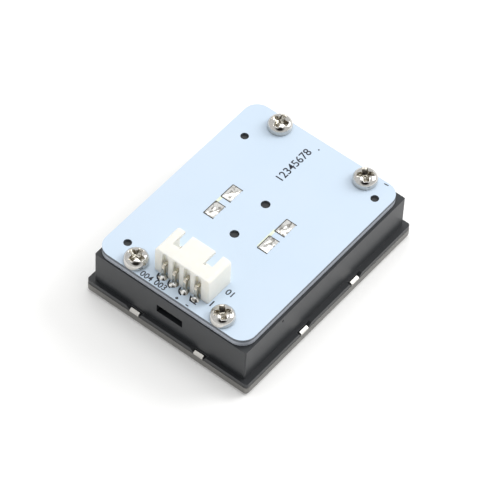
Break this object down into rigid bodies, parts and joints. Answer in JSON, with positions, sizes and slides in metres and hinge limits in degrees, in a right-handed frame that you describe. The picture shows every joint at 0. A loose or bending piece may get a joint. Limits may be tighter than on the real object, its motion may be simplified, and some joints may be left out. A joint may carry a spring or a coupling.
{
  "type": "illuminated panel push-button module",
  "caption": "Rectangular back-lit push-button: flanged black housing with steel bezel, sprung key, circuit board on the back with a side-entry header.",
  "frame": {"origin": "middle of the bezel's front face, which the module lies on", "axes": "+Z from the key's front towards the board's back, +X along the longest side away from the header, +Y completes a right-handed frame"},
  "size_m": [0.0486, 0.0376, 0.0182],
  "materials": {
    "bezel_steel": "satin stainless steel",
    "black_abs": "fine matte moulded ABS",
    "board_mask": "pale solder mask on glass epoxy",
    "header_nylon": "natural nylon 66",
    "solder": "bright tin solder",
    "switch_nylon": "black glass-filled nylon",
    "switch_steel": "stainless strip",
    "milky_light_frame": "milky polycarbonate",
    "key_steel": "brushed stainless steel",
    "foam_tape": "acrylic foam tape",
    "nickel_screw": "nickel-plated steel",
    "tinned_brass": "tin-plated brass",
    "led_white": "white polyamide",
    "led_lens": "phosphor silicone",
    "spring_steel": "bright spring wire",
    "resistor_ceramic": "coated alumina chip"
  },
  "bodies": {
    "case": {"front_bezel": "bezel_steel", "housing": "black_abs", "circuit_board": "board_mask", "board_screw_1": "nickel_screw", "board_screw_2": "nickel_screw", "board_screw_3": "nickel_screw", "board_screw_4": "nickel_screw", "header_housing": "header_nylon", "header_pin_1": "tinned_brass", "header_pin_2": "tinned_brass", "header_pin_3": "tinned_brass", "header_pin_4": "tinned_brass", "header_solder": "solder", "switch_base": "switch_nylon", "switch_cover": "switch_steel", "switch_dome": "switch_steel", "switch_terminal_1": "tinned_brass", "switch_terminal_2": "tinned_brass", "switch_terminal_3": "tinned_brass", "switch_terminal_4": "tinned_brass", "switch_solder": "solder", "led_body_1": "led_white", "led_body_2": "led_white", "led_body_3": "led_white", "led_body_4": "led_white", "led_lens_1": "led_lens", "led_lens_2": "led_lens", "led_lens_3": "led_lens", "led_lens_4": "led_lens", "resistor_1": "resistor_ceramic", "resistor_2": "resistor_ceramic", "return_spring_1": "spring_steel", "return_spring_2": "spring_steel", "return_spring_3": "spring_steel", "return_spring_4": "spring_steel"},
    "key": {"light_frame": "milky_light_frame", "key_face_plate": "key_steel", "key_tape": "foam_tape"},
    "stem": {"switch_stem": "switch_nylon"}
  },
  "joints": [
    {"name": "key_press", "type": "slide", "parent": "case", "child": "key", "axis": [0, 0, 1], "range_m": [0, 0.0007], "stiffness_N_per_m": 1500, "springref_m": -0.0006, "deforming": ["return_spring_1", "return_spring_2", "return_spring_3", "return_spring_4"]},
    {"name": "switch_press", "type": "slide", "parent": "case", "child": "stem", "axis": [0, 0, 1], "range_m": [0, 0.0003], "deforming": ["switch_dome"]}
  ],
  "couplings": [
    {"joint": "switch_press", "follows": "key_press", "ratio": 0.42857}
  ]
}
